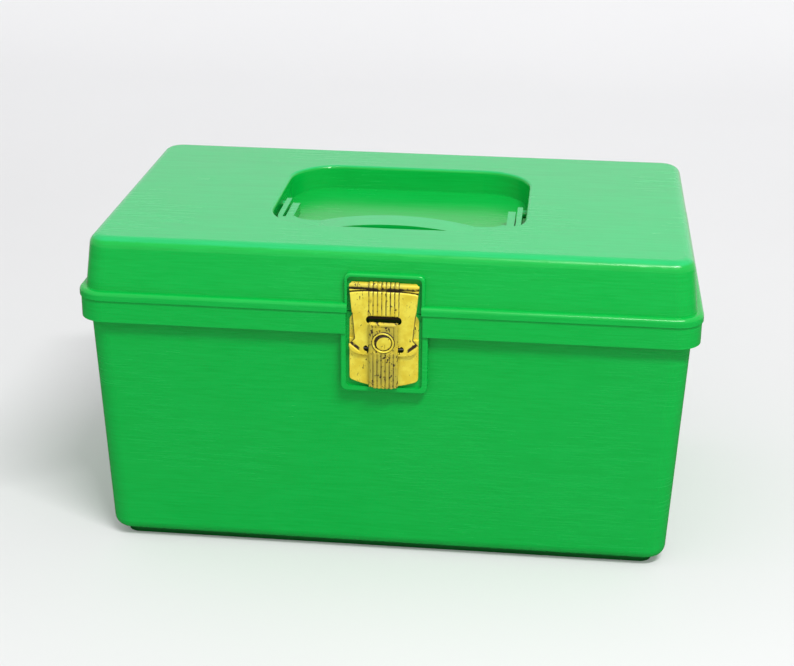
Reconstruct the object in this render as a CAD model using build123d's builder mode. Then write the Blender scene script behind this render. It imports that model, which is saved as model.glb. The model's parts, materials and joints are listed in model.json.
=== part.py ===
from build123d import *
from math import acos, cos, degrees, radians, sin
import os

# Moulded sewing box for machine attachments: drafted tub, hinged lid with a sunken carry
# handle, lift-out divided tray and a sprung hasp latch.
# Millimetres.  X is the width, -Y the latch side, Z up.  The origin is the middle of the
# footprint on the surface that the box stands on.

# ---------------------------------------------------------------- driving dimensions
# Tub
BAND_WIDTH = 292.0        # rim band, outside
BAND_DEPTH = 180.0
BAND_CORNER = 12.5        # plan radius of the band
BAND_HEIGHT = 10.4
BAND_SKIN = 2.2           # thickness of the downturned band
PARTING_Z = 128.8         # top face of the tub's rim
TUB_WALL = 2.4
TUB_STEP = 3.7            # tub wall stands in from the band
TUB_TAPER = 5.2           # each wall leans in this much from rim to base
TUB_CORNER = 10.0
TUB_BASE_ROUND = 5.5
FOOT_HEIGHT = 3.6
FOOT_INSET = 6.2
FOOT_WIDTH = 3.0
FOOT_CORNER = 6.0
LIP_HEIGHT = 3.0          # inner lip that the lid drops over
LIP_SKIN = 1.4

# Lid
PARTING_GAP = 0.3
LID_RISE = 29.5           # from the tub's rim to the lid's top face
LID_WALL = 2.2
LID_TAPER = 3.0
LID_TOP_ROUND = 5.3
LID_TOP_SKIN = 2.4
INNER_ROUND = 3.0
FLANGE_HEIGHT = 4.1
FLANGE_PROUD = 0.6        # flange stands out past the band
FLANGE_STEP = 2.8         # lid wall stands in from the flange
FLANGE_ROUND = 1.9

# Handle well in the lid
WELL_WIDTH = 124.0
WELL_DEPTH = 102.0
WELL_CORNER = 25.0
WELL_SINK = 12.0
WELL_DRAFT = 2.0          # degrees
WELL_EDGE_ROUND = 1.6
WELL_SKIN = 2.0
DIMPLE_RADIUS = 4.5       # gate dimple in the well floor
DIMPLE_DEPTH = 0.4

# Carry handle
PIVOT_DROP = 6.8          # pivot axis below the lid's top face
HANDLE_GAP = 2.2          # handle to the edge of the well
ARM_HEIGHT = 7.0
FINGER_SKIN = 2.6         # outer spring finger of each arm
SLIT = 0.8                # slit that lets the finger flex
SLIT_LENGTH = 30.0
ARM_INNER_SKIN = 3.8
ARM_INNER_START = 3.0     # inner half of the arm starts this far in front of the pivot
ARM_INNER_DROP = 1.4
GRIP_DEPTH = 15.0
GRIP_FLOOR_GAP = 0.4
GRIP_SKIN = 2.2
GRIP_RIBS = 5
CROWN_RISE = 0.7          # middle of the bowed grip above the lid's top face
CROWN_RADIUS = 178.0
STUB_RADIUS = 2.0
STUB_CLEARANCE = 0.08
STUB_BOSS_RADIUS = 4.6
STUB_BOSS_LENGTH = 4.5
STUB_REACH = 4.6          # stub past the outside of the arm
GRIP_CORNER = 10.0

# Rear hinges
HINGE_SPACING = 160.0
KNUCKLE_LENGTH = 14.0
KNUCKLE_RADIUS = 4.2
KNUCKLE_GAP = 0.4
KNUCKLE_WEB_RISE = 1.0    # foot of the tub's webs above the band's lower edge
TUB_WEB = radians(45)     # where the webs meet their knuckles
LID_WEB = radians(70)
HINGE_OFFSET = 0.5        # knuckle clear of the lid flange
HINGE_PIN_RADIUS = 1.6
HINGE_PIN_CLEARANCE = 0.08
LID_OPEN_ANGLE = 105.0
STOP_REACH = 2.0          # stop tooth past the knuckle
STOP_WIDTH = 3.0
STOP_CLEARANCE = 0.2

# Latch frame moulded on lid and tub
FRAME_SINK = 0.8          # frame face behind the band face
POCKET_SINK = 1.6         # pocket floor behind the frame face
LID_POCKET_EXTRA = 0.3    # the lid's pocket floor lies this much deeper
LID_FRAME_WIDTH = 37.6
LID_FRAME_RIM = 1.5
LID_FRAME_TOP = 148.0
TUB_FRAME_WIDTH = 41.0
TUB_FRAME_RIM = 2.6
TUB_FRAME_BOTTOM = 89.3
FRAME_CORNER = 3.0
FRAME_ROUND = 0.9
FRAME_POCKET_CORNER = 2.0

# Latch, pressed from sheet
SHEET = 0.8
STRIKE_WIDTH = 32.3
STRIKE_TOP = 128.2
STRIKE_TOP_CORNER = 3.2
STRIKE_BOTTOM = 92.4
STRIKE_BOW = 3.4          # rise of the bowed bottom edge at its ends
STRIKE_CORNER = 2.2
STRIKE_FACE = 1.8         # front of the raised lower part, from the pocket floor
STRIKE_STEP_Z = 116.5
WINDOW_WIDTH = 20.6
WINDOW_BOTTOM = 108.4
WINDOW_CORNER = 1.5
HASP_WIDTH = 32.3
HASP_GAP = 0.4            # strike face to the back of the hasp
HASP_BOTTOM = 108.2
HASP_PIN_Z = 142.4
HASP_PIN_RADIUS = 0.75
HASP_PIN_CLEARANCE = 0.05
ROLL_GAP = 0.3
ROLL_SPLIT = 7.8          # half length of the bracket's roll, between the hasp's two rolls
WAIST_WIDTH = 27.4
WAIST_Z = 117.0
EAR_Z = 113.4
EAR_BOW = 0.8
EAR_FOOT_X = 10.0         # where each ear's curve meets the bowed lower edge
EAR_FOOT_RISE = 0.6
EAR_CURVE_X = 14.25       # middle of that curve
EAR_SIDE_BOW = 0.6
EAR_SIDE_RISE = 0.3
SLOT_HEIGHT = 3.5
SLOT_WIDTH = 16.2
SLOT_TOP = 127.9
PIVOT_SLOT_HEIGHT = 3.2
PIVOT_SLOT_WIDTH = 19.0
BRACKET_WIDTH = 28.0
BRACKET_BOTTOM = 131.4

# Rocker lever on the hasp
LEVER_WIDTH = 13.6
LEVER_TOP = 125.8
LEVER_BOTTOM = 92.9
LEVER_GAP = 0.4           # hasp face to the lever's flanges
LEVER_FLANGE = 0.7
LEVER_CORNER = 0.8
LEVER_PIN_Z = 111.8
LEVER_PIN_RADIUS = 0.6
LEVER_PIN_CLEARANCE = 0.05
LEVER_PIN_OUT = 2.2       # lever pivot axis, out from the pocket floor
LEVER_EAR_RADIUS = 1.0
LEVER_EAR_X = 4.6
TAB_INSET = 0.1           # tabs that hold the lever pin, in from the ends of their slot
NOSE_WIDTH = 11.0
NOSE_BITE = 0.6           # nose under the keeper edge when latched
NOSE_CLEARANCE = 0.15
LEVER_RELEASE_ANGLE = 3.2
BOSS_Z = 115.6
BOSS_RADIUS = 5.1
BOSS_DISC_RADIUS = 3.9
BOSS_GROOVE = 0.6
BOSS_PROUD = 0.3

# Rivets and their backing washers
RIVET_RADIUS = 1.2
RIVET_HEAD_RADIUS = 2.3
RIVET_HEAD = 0.8
RIVET_HEAD_BEVEL = 0.48
WASHER_RADIUS = 3.4
WASHER_SHEET = 0.8
RIVET_BOSS_PROUD = 0.4
STRIKE_RIVET_X = 12.9
STRIKE_RIVET_Z = 121.8
BRACKET_RIVET_X = 9.6
BRACKET_RIVET_Z = 135.4

# Lift-out tray
TRAY_GAP = 5.5
TRAY_SKIN = 1.8
TRAY_HEIGHT = 38.0
TRAY_TOP = 114.5
TRAY_CORNER = 7.0
TRAY_REAR_DEPTH = 62.0    # rear row of compartments
TRAY_REAR_CELLS = 4
TRAY_SEAT_GAP = 0.3
TRAY_POCKET_CORNER = 3.0
TRAY_NOTCH_WIDTH = 44.0
TRAY_NOTCH_DEPTH = 9.0
PEG_RADIUS = 3.0
PEG_HEIGHT = 27.0
PEG_DRAFT = 1.0           # degrees
PEG_PITCH = 34.0
PEG_COUNT = 7
PEG_ROWS = 2
SEAT_RIB_SKIN = 2.4
SEAT_RIB_REACH = 12.0
SEAT_RIB_HEIGHT = 18.0
SEAT_RIB_SPREAD_X = 190.0
SEAT_RIB_SPREAD_Y = 90.0

# ---------------------------------------------------------------- worked-out places
BAND_BOTTOM = PARTING_Z - BAND_HEIGHT
TUB_TOP_WIDTH = BAND_WIDTH - 2 * TUB_STEP
TUB_TOP_DEPTH = BAND_DEPTH - 2 * TUB_STEP
TUB_BASE_WIDTH = TUB_TOP_WIDTH - 2 * TUB_TAPER
TUB_BASE_DEPTH = TUB_TOP_DEPTH - 2 * TUB_TAPER
TUB_LEAN = TUB_TAPER / (PARTING_Z - FOOT_HEIGHT)      # lean of a tub wall, mm per mm

LID_BOTTOM = PARTING_Z + PARTING_GAP
LID_TOP = PARTING_Z + LID_RISE
LID_BASE_WIDTH = BAND_WIDTH + 2 * (FLANGE_PROUD - FLANGE_STEP)
LID_BASE_DEPTH = BAND_DEPTH + 2 * (FLANGE_PROUD - FLANGE_STEP)
LID_BASE_CORNER = BAND_CORNER + FLANGE_PROUD - FLANGE_STEP
LID_LEAN = LID_TAPER / (LID_TOP - LID_BOTTOM)
WELL_FLOOR = LID_TOP - WELL_SINK
PIVOT_Z = LID_TOP - PIVOT_DROP

HINGE_Y = BAND_DEPTH / 2 + FLANGE_PROUD + HINGE_OFFSET + KNUCKLE_RADIUS
HINGE_Z = PARTING_Z + PARTING_GAP / 2

FRAME_Y = -(BAND_DEPTH / 2 - FRAME_SINK)              # face of the moulded latch frame
POCKET_Y = FRAME_Y + POCKET_SINK                      # floor of the latch pocket in the tub

HASP_BACK = STRIKE_FACE + HASP_GAP                    # all "out from the pocket floor"
HASP_FACE = HASP_BACK + SHEET
LEVER_BACK = HASP_FACE + LEVER_GAP + LEVER_FLANGE
LEVER_FACE = LEVER_BACK + SHEET
ROLL_RADIUS = HASP_PIN_RADIUS + HASP_PIN_CLEARANCE + SHEET
HASP_PIN_OUT = HASP_FACE - ROLL_RADIUS + 0.1
WINDOW_TOP = LEVER_TOP + NOSE_CLEARANCE

TRAY_BOTTOM = TRAY_TOP - TRAY_HEIGHT

# inside faces that the rivets' washers sit on, as Y
WASHER_SEAT_TUB = (
    -(TUB_TOP_DEPTH / 2 - TUB_WALL - TUB_LEAN * (PARTING_Z - STRIKE_RIVET_Z)) + RIVET_BOSS_PROUD
)
WASHER_SEAT_LID = (
    -(LID_BASE_DEPTH / 2 - LID_WALL - LID_LEAN * (BRACKET_RIVET_Z - LID_BOTTOM)) + RIVET_BOSS_PROUD
)


def tub_half(depth_or_width, z):
    """Half of a tub wall's outside distance at height z."""
    return depth_or_width / 2 - TUB_LEAN * (PARTING_Z - z)


def lid_half(depth_or_width, z):
    """Half of a lid wall's outside distance at height z."""
    return depth_or_width / 2 - LID_LEAN * (z - LID_BOTTOM)


def front(out):
    """Plane facing -Y, the given distance out from the latch pocket's floor."""
    return Plane(origin=(0, POCKET_Y - out, 0), x_dir=(1, 0, 0), z_dir=(0, -1, 0))


def side(x):
    """Plane facing +X at x, with Y to its right and Z up."""
    return Plane(origin=(x, 0, 0), x_dir=(0, 1, 0), z_dir=(1, 0, 0))


def save(piece, name):
    """Label a finished piece and write its STEP file."""
    piece.label = name
    export_step(piece, f"parts/{name}.step")


os.makedirs("parts", exist_ok=True)

# ---------------------------------------------------------------- latch frames
# Raised frames that carry the latch; their front edges are rounded over.
FRAME_BACK = POCKET_SINK + TUB_STEP + TUB_WALL        # how far each frame runs in

with BuildPart() as tub_frame:
    with BuildSketch(front(POCKET_SINK)):
        with Locations((0, (TUB_FRAME_BOTTOM + PARTING_Z) / 2)):
            RectangleRounded(TUB_FRAME_WIDTH, PARTING_Z - TUB_FRAME_BOTTOM, FRAME_CORNER)
        with Locations((0, PARTING_Z - FRAME_CORNER)):
            Rectangle(TUB_FRAME_WIDTH, 2 * FRAME_CORNER)
    extrude(amount=-FRAME_BACK)
    fillet(tub_frame.faces().sort_by(Axis.Y)[0].edges(), FRAME_ROUND)

with BuildPart() as lid_frame:
    with BuildSketch(front(POCKET_SINK)):
        with Locations((0, (LID_BOTTOM + LID_FRAME_TOP) / 2)):
            RectangleRounded(LID_FRAME_WIDTH, LID_FRAME_TOP - LID_BOTTOM, FRAME_CORNER)
        with Locations((0, LID_BOTTOM + FRAME_CORNER)):
            Rectangle(LID_FRAME_WIDTH, 2 * FRAME_CORNER)
    extrude(amount=-FRAME_BACK)
    fillet(lid_frame.faces().sort_by(Axis.Y)[0].edges(), FRAME_ROUND)

# ---------------------------------------------------------------- tub
with BuildPart() as tub_hollow:
    for z in (FOOT_HEIGHT + TUB_WALL, PARTING_Z + LIP_HEIGHT):
        with BuildSketch(Plane.XY.offset(z)):
            RectangleRounded(
                2 * tub_half(TUB_TOP_WIDTH - 2 * TUB_WALL, z),
                2 * tub_half(TUB_TOP_DEPTH - 2 * TUB_WALL, z),
                TUB_CORNER - TUB_WALL,
            )
    loft()
    fillet(tub_hollow.edges().group_by(Axis.Z)[0], INNER_ROUND)

# gussets under the tray, two against each wall
SEAT_Z = TRAY_BOTTOM - TRAY_SEAT_GAP
SEAT_Y = tub_half(TUB_TOP_DEPTH, SEAT_Z) - TUB_WALL / 2
SEAT_X = tub_half(TUB_TOP_WIDTH, SEAT_Z) - TUB_WALL / 2
SEAT_LEAN = TUB_LEAN * SEAT_RIB_HEIGHT


def seat_rib(wall):
    """Outline of a gusset whose level top reaches in from the wall at the given distance."""
    with BuildSketch() as rib:
        with BuildLine():
            Polyline(
                (wall, SEAT_Z),
                (wall - TUB_WALL / 2 - SEAT_RIB_REACH, SEAT_Z),
                (wall - TUB_WALL / 2 - SEAT_LEAN, SEAT_Z - SEAT_RIB_HEIGHT),
                (wall - SEAT_LEAN, SEAT_Z - SEAT_RIB_HEIGHT),
                close=True,
            )
        make_face()
    return rib.sketch


with BuildPart() as end_ribs:
    for y in (-SEAT_RIB_SPREAD_Y / 2, SEAT_RIB_SPREAD_Y / 2):
        with BuildSketch(Plane.XZ.offset(-y)):
            add(seat_rib(SEAT_X))
        extrude(amount=SEAT_RIB_SKIN / 2, both=True)

with BuildPart() as front_ribs:
    for x in (-SEAT_RIB_SPREAD_X / 2, SEAT_RIB_SPREAD_X / 2):
        with BuildSketch(side(x)):
            add(seat_rib(SEAT_Y))
        extrude(amount=SEAT_RIB_SKIN / 2, both=True)

KNUCKLE_WEB_Y = BAND_DEPTH / 2 - BAND_SKIN / 2

with BuildPart() as tub:
    with BuildSketch(Plane.XY.offset(FOOT_HEIGHT)):
        RectangleRounded(TUB_BASE_WIDTH, TUB_BASE_DEPTH, TUB_CORNER)
    with BuildSketch(Plane.XY.offset(PARTING_Z)):
        RectangleRounded(TUB_TOP_WIDTH, TUB_TOP_DEPTH, TUB_CORNER)
    loft()
    fillet(tub.edges().group_by(Axis.Z)[0], TUB_BASE_ROUND)
    # band: a flat rim with a downturned skirt round it
    with BuildSketch(Plane.XY.offset(PARTING_Z - BAND_SKIN)):
        RectangleRounded(BAND_WIDTH, BAND_DEPTH, BAND_CORNER)
    extrude(amount=BAND_SKIN)
    with BuildSketch(Plane.XY.offset(BAND_BOTTOM)):
        RectangleRounded(BAND_WIDTH, BAND_DEPTH, BAND_CORNER)
        RectangleRounded(
            BAND_WIDTH - 2 * BAND_SKIN,
            BAND_DEPTH - 2 * BAND_SKIN,
            BAND_CORNER - BAND_SKIN,
            mode=Mode.SUBTRACT,
        )
    extrude(amount=BAND_HEIGHT)
    add(tub_frame.part)
    add(tub_hollow.part, mode=Mode.SUBTRACT)
    # seats of the tray
    add(front_ribs.part)
    add(front_ribs.part.mirror(Plane.XZ))
    add(end_ribs.part)
    add(end_ribs.part.mirror(Plane.YZ))
    # inner lip, standing above the rim
    with BuildSketch(Plane.XY.offset(PARTING_Z - LIP_HEIGHT)):
        RectangleRounded(
            TUB_TOP_WIDTH - 2 * TUB_WALL + LIP_SKIN,
            TUB_TOP_DEPTH - 2 * TUB_WALL + LIP_SKIN,
            TUB_CORNER - TUB_WALL + LIP_SKIN / 2,
        )
        RectangleRounded(
            TUB_TOP_WIDTH - 2 * TUB_WALL - LIP_SKIN,
            TUB_TOP_DEPTH - 2 * TUB_WALL - LIP_SKIN,
            TUB_CORNER - TUB_WALL - LIP_SKIN / 2,
            mode=Mode.SUBTRACT,
        )
    extrude(amount=2 * LIP_HEIGHT)
    # foot rim
    with BuildSketch():
        RectangleRounded(
            TUB_BASE_WIDTH - 2 * FOOT_INSET, TUB_BASE_DEPTH - 2 * FOOT_INSET, FOOT_CORNER
        )
        RectangleRounded(
            TUB_BASE_WIDTH - 2 * FOOT_INSET - 2 * FOOT_WIDTH,
            TUB_BASE_DEPTH - 2 * FOOT_INSET - 2 * FOOT_WIDTH,
            FOOT_CORNER - FOOT_WIDTH,
            mode=Mode.SUBTRACT,
        )
    extrude(amount=FOOT_HEIGHT + TUB_WALL / 2)
    # flat bosses for the washers of the strike's rivets
    with BuildSketch(Plane.XZ.offset(-WASHER_SEAT_TUB)):
        with Locations((-STRIKE_RIVET_X, STRIKE_RIVET_Z), (STRIKE_RIVET_X, STRIKE_RIVET_Z)):
            Circle(WASHER_RADIUS)
    extrude(amount=TUB_WALL)
    # pocket for the latch
    with BuildSketch(front(0)):
        with Locations((0, (TUB_FRAME_BOTTOM + TUB_FRAME_RIM + PARTING_Z + LIP_HEIGHT) / 2)):
            RectangleRounded(
                TUB_FRAME_WIDTH - 2 * TUB_FRAME_RIM,
                PARTING_Z + LIP_HEIGHT - TUB_FRAME_BOTTOM - TUB_FRAME_RIM,
                FRAME_POCKET_CORNER,
            )
    extrude(amount=2 * TUB_STEP, mode=Mode.SUBTRACT)
    with BuildSketch(front(-2 * TUB_STEP)):
        with Locations((-STRIKE_RIVET_X, STRIKE_RIVET_Z), (STRIKE_RIVET_X, STRIKE_RIVET_Z)):
            Circle(RIVET_RADIUS)
    extrude(amount=3 * TUB_STEP, mode=Mode.SUBTRACT)
    # outer knuckles of the two hinges, on webs from the band
    for middle in (-HINGE_SPACING / 2, HINGE_SPACING / 2):
        for step in (-1, 1):
            with BuildSketch(side(middle + step * (KNUCKLE_LENGTH + KNUCKLE_GAP))):
                with Locations((HINGE_Y, HINGE_Z)):
                    Circle(KNUCKLE_RADIUS)
                with BuildLine():
                    Polyline(
                        (KNUCKLE_WEB_Y, BAND_BOTTOM + KNUCKLE_WEB_RISE),
                        (HINGE_Y + KNUCKLE_RADIUS * cos(TUB_WEB), HINGE_Z - KNUCKLE_RADIUS * sin(TUB_WEB)),
                        (HINGE_Y, HINGE_Z - KNUCKLE_RADIUS / 2),
                        (HINGE_Y, PARTING_Z),
                        (KNUCKLE_WEB_Y, PARTING_Z),
                        close=True,
                    )
                make_face()
                with Locations((HINGE_Y, HINGE_Z)):
                    Circle(HINGE_PIN_RADIUS, mode=Mode.SUBTRACT)
            extrude(amount=KNUCKLE_LENGTH / 2, both=True)
save(tub.part, "tub")

# ---------------------------------------------------------------- hinge pins
for name, middle in (("hinge_pin_left", -HINGE_SPACING / 2), ("hinge_pin_right", HINGE_SPACING / 2)):
    with BuildPart() as hinge_pin:
        with BuildSketch(side(middle)):
            with Locations((HINGE_Y, HINGE_Z)):
                Circle(HINGE_PIN_RADIUS)
        extrude(amount=1.5 * KNUCKLE_LENGTH + KNUCKLE_GAP, both=True)
        chamfer(hinge_pin.edges().filter_by(GeomType.CIRCLE), HINGE_PIN_RADIUS / 4)
    save(hinge_pin.part, name)

# ---------------------------------------------------------------- lid
with BuildPart() as lid_hollow:
    for z in (LID_BOTTOM, LID_TOP - LID_TOP_SKIN):
        with BuildSketch(Plane.XY.offset(z)):
            RectangleRounded(
                2 * lid_half(LID_BASE_WIDTH - 2 * LID_WALL, z),
                2 * lid_half(LID_BASE_DEPTH - 2 * LID_WALL, z),
                LID_BASE_CORNER - LID_WALL,
            )
    loft()
    fillet(lid_hollow.edges().group_by(Axis.Z)[-1], INNER_ROUND)

with BuildPart() as flange:
    with BuildSketch(Plane.XY.offset(LID_BOTTOM)):
        RectangleRounded(
            BAND_WIDTH + 2 * FLANGE_PROUD, BAND_DEPTH + 2 * FLANGE_PROUD, BAND_CORNER + FLANGE_PROUD
        )
    extrude(amount=FLANGE_HEIGHT)
    fillet(flange.edges().group_by(Axis.Z)[-1], FLANGE_ROUND)

STOP_TIP = KNUCKLE_RADIUS + STOP_REACH
STOP_MEET = (HINGE_Y - BAND_DEPTH / 2 - STOP_CLEARANCE) / STOP_TIP   # cosine at the open lid
STOP_ANGLE = 180 + LID_OPEN_ANGLE + degrees(acos(STOP_MEET))

with BuildPart() as lid:
    with BuildSketch(Plane.XY.offset(LID_BOTTOM)):
        RectangleRounded(LID_BASE_WIDTH, LID_BASE_DEPTH, LID_BASE_CORNER)
    with BuildSketch(Plane.XY.offset(LID_TOP)):
        RectangleRounded(
            LID_BASE_WIDTH - 2 * LID_TAPER, LID_BASE_DEPTH - 2 * LID_TAPER, LID_BASE_CORNER
        )
    loft()
    fillet(lid.edges().group_by(Axis.Z)[-1], LID_TOP_ROUND)
    add(flange.part)
    add(lid_frame.part)
    add(lid_hollow.part, mode=Mode.SUBTRACT)
    # flat bosses for the washers of the bracket's rivets
    with BuildSketch(Plane.XZ.offset(-WASHER_SEAT_LID)):
        with Locations((-BRACKET_RIVET_X, BRACKET_RIVET_Z), (BRACKET_RIVET_X, BRACKET_RIVET_Z)):
            Circle(WASHER_RADIUS)
    extrude(amount=LID_WALL)
    # pocket for the latch
    with BuildSketch(front(-LID_POCKET_EXTRA)):
        with Locations((0, (LID_FRAME_TOP - LID_FRAME_RIM + LID_BOTTOM - LIP_HEIGHT) / 2)):
            RectangleRounded(
                LID_FRAME_WIDTH - 2 * LID_FRAME_RIM,
                LID_FRAME_TOP - LID_FRAME_RIM - LID_BOTTOM + LIP_HEIGHT,
                FRAME_POCKET_CORNER,
            )
    extrude(amount=2 * TUB_STEP, mode=Mode.SUBTRACT)
    with BuildSketch(front(-2 * TUB_STEP)):
        with Locations((-BRACKET_RIVET_X, BRACKET_RIVET_Z), (BRACKET_RIVET_X, BRACKET_RIVET_Z)):
            Circle(RIVET_RADIUS)
    extrude(amount=3 * TUB_STEP, mode=Mode.SUBTRACT)
    # well of the handle, with a boss outside each side wall for the stub pivots
    with BuildSketch(Plane.XY.offset(WELL_FLOOR - WELL_SKIN)):
        RectangleRounded(
            WELL_WIDTH + 2 * WELL_SKIN, WELL_DEPTH + 2 * WELL_SKIN, WELL_CORNER + WELL_SKIN
        )
    extrude(amount=WELL_SINK + WELL_SKIN - LID_TOP_SKIN / 2)
    for end in (-1, 1):
        with BuildSketch(side(end * (WELL_WIDTH / 2 + WELL_SKIN / 2))):
            with Locations((0, PIVOT_Z)):
                Circle(STUB_BOSS_RADIUS)
        extrude(amount=end * (STUB_BOSS_LENGTH - WELL_SKIN / 2))
    with BuildSketch(Plane.XY.offset(LID_TOP)):
        RectangleRounded(WELL_WIDTH, WELL_DEPTH, WELL_CORNER)
    extrude(amount=-WELL_SINK, taper=WELL_DRAFT, mode=Mode.SUBTRACT)
    fillet(
        lid.faces().filter_by(Plane.XY).sort_by(Axis.Z)[-1].inner_wires()[0].edges(),
        WELL_EDGE_ROUND,
    )
    with BuildSketch(side(0)):
        with Locations((0, PIVOT_Z)):
            Circle(STUB_RADIUS + STUB_CLEARANCE)
    extrude(amount=WELL_WIDTH / 2 + 2 * STUB_BOSS_LENGTH, both=True, mode=Mode.SUBTRACT)
    # gate dimple in the well floor
    with BuildSketch(Plane.XY.offset(WELL_FLOOR - DIMPLE_DEPTH)):
        Circle(DIMPLE_RADIUS)
    extrude(amount=DIMPLE_DEPTH, mode=Mode.SUBTRACT)
    # middle knuckles of the two hinges, with their stop teeth
    for middle in (-HINGE_SPACING / 2, HINGE_SPACING / 2):
        with BuildSketch(side(middle)):
            with Locations((HINGE_Y, HINGE_Z)):
                Circle(KNUCKLE_RADIUS)
            with BuildLine():
                Polyline(
                    (KNUCKLE_WEB_Y, LID_BOTTOM),
                    (HINGE_Y, LID_BOTTOM),
                    (HINGE_Y - KNUCKLE_RADIUS * cos(LID_WEB), HINGE_Z + KNUCKLE_RADIUS * sin(LID_WEB)),
                    (KNUCKLE_WEB_Y, HINGE_Z + KNUCKLE_RADIUS * sin(LID_WEB)),
                    close=True,
                )
            make_face()
            with Locations(Location((HINGE_Y, HINGE_Z, 0), (0, 0, STOP_ANGLE))):
                Rectangle(STOP_TIP, STOP_WIDTH, align=(Align.MIN, Align.MIN))
            with Locations((HINGE_Y, HINGE_Z)):
                Circle(HINGE_PIN_RADIUS + HINGE_PIN_CLEARANCE, mode=Mode.SUBTRACT)
        extrude(amount=KNUCKLE_LENGTH / 2, both=True)
save(lid.part, "lid")

# ---------------------------------------------------------------- carry handle
HANDLE_HALF = WELL_WIDTH / 2 - HANDLE_GAP
HANDLE_FRONT = WELL_DEPTH / 2 - HANDLE_GAP
ARM_WIDTH = FINGER_SKIN + SLIT + ARM_INNER_SKIN
ARM_TOP = PIVOT_Z + ARM_HEIGHT / 2
ARM_BOTTOM = PIVOT_Z - ARM_HEIGHT / 2
GRIP_BOTTOM = WELL_FLOOR + GRIP_FLOOR_GAP
GRIP_BACK = HANDLE_FRONT - GRIP_DEPTH
CROWN_TOP = LID_TOP + CROWN_RISE
SLIT_X = HANDLE_HALF - FINGER_SKIN - SLIT / 2

with BuildPart() as crown:
    # the bowed grip: the front bar of the handle's plan, under an arch and hollow below
    with BuildSketch(Plane.XY.offset(GRIP_BOTTOM)):
        RectangleRounded(2 * HANDLE_HALF, 2 * HANDLE_FRONT, WELL_CORNER - HANDLE_GAP)
        RectangleRounded(2 * (HANDLE_HALF - ARM_WIDTH), 2 * GRIP_BACK, GRIP_CORNER, mode=Mode.SUBTRACT)
        with Locations((0, -GRIP_BACK + GRIP_CORNER)):
            Rectangle(2 * WELL_WIDTH, 2 * WELL_DEPTH, align=(Align.CENTER, Align.MIN), mode=Mode.SUBTRACT)
    extrude(amount=CROWN_TOP - GRIP_BOTTOM)
    with BuildSketch(Plane.XZ):
        with Locations((0, CROWN_TOP - CROWN_RADIUS)):
            Circle(CROWN_RADIUS)
    extrude(amount=WELL_DEPTH, mode=Mode.INTERSECT)

with BuildPart() as carry_handle:
    with BuildSketch(Plane.XY.offset(ARM_BOTTOM)):
        RectangleRounded(2 * HANDLE_HALF, 2 * HANDLE_FRONT, WELL_CORNER - HANDLE_GAP)
        RectangleRounded(2 * (HANDLE_HALF - ARM_WIDTH), 2 * GRIP_BACK, GRIP_CORNER, mode=Mode.SUBTRACT)
        Rectangle(2 * WELL_WIDTH, 2 * WELL_DEPTH, align=(Align.CENTER, Align.MIN), mode=Mode.SUBTRACT)
    extrude(amount=ARM_HEIGHT)
    add(crown.part)
    for end in (-1, 1):
        # spring finger with its round end, and the stub pivot
        with BuildSketch(side(end * (HANDLE_HALF - FINGER_SKIN))):
            with Locations((0, PIVOT_Z)):
                Circle(ARM_HEIGHT / 2)
        extrude(amount=end * FINGER_SKIN)
        with BuildSketch(side(end * HANDLE_HALF)):
            with Locations((0, PIVOT_Z)):
                Circle(STUB_RADIUS)
        extrude(amount=end * STUB_REACH)
        # the slit beside the finger, and the lower inner half of the arm
        with BuildSketch(side(end * (SLIT_X - SLIT / 2))):
            with Locations((-SLIT_LENGTH, PIVOT_Z)):
                Rectangle(2 * SLIT_LENGTH, 2 * ARM_HEIGHT, align=(Align.MIN, Align.CENTER))
        extrude(amount=end * SLIT, mode=Mode.SUBTRACT)
        with BuildSketch(side(end * (HANDLE_HALF - ARM_WIDTH - 1))):
            with Locations((-ARM_INNER_START, PIVOT_Z)):
                Rectangle(2 * ARM_HEIGHT, 2 * ARM_HEIGHT, align=(Align.MIN, Align.CENTER))
            with Locations((-SLIT_LENGTH, ARM_TOP - ARM_INNER_DROP)):
                Rectangle(2 * SLIT_LENGTH, ARM_HEIGHT, align=(Align.MIN, Align.MIN))
        extrude(amount=end * (ARM_INNER_SKIN + 1), mode=Mode.SUBTRACT)
    # hollow underside of the grip, stiffened by ribs
    pocket_pitch = 2 * (HANDLE_HALF - WELL_CORNER + HANDLE_GAP) / (GRIP_RIBS + 1)
    with BuildSketch(Plane.XY.offset(GRIP_BOTTOM)):
        with Locations((0, -(HANDLE_FRONT + GRIP_BACK) / 2)):
            with GridLocations(pocket_pitch, 0, GRIP_RIBS + 1, 1):
                Rectangle(pocket_pitch - GRIP_SKIN, GRIP_DEPTH - 2 * GRIP_SKIN)
    extrude(amount=ARM_TOP - GRIP_SKIN - GRIP_BOTTOM, mode=Mode.SUBTRACT)
save(carry_handle.part, "carry_handle")

# ---------------------------------------------------------------- strike plate
HALF_STRIKE = STRIKE_WIDTH / 2


def bowed_plate(top, top_corner):
    """Strike plate's outline, straight sided with a bowed bottom edge, up to the given top."""
    with BuildSketch() as plate:
        with BuildLine():
            Polyline(
                (-HALF_STRIKE, STRIKE_BOTTOM + STRIKE_BOW),
                (-HALF_STRIKE, top),
                (HALF_STRIKE, top),
                (HALF_STRIKE, STRIKE_BOTTOM + STRIKE_BOW),
            )
            ThreePointArc(
                (HALF_STRIKE, STRIKE_BOTTOM + STRIKE_BOW),
                (0, STRIKE_BOTTOM),
                (-HALF_STRIKE, STRIKE_BOTTOM + STRIKE_BOW),
            )
        make_face()
        fillet(plate.vertices().group_by(Axis.Y)[0], STRIKE_CORNER)
        if top_corner:
            fillet(plate.vertices().group_by(Axis.Y)[-1], top_corner)
    return plate.sketch


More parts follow.
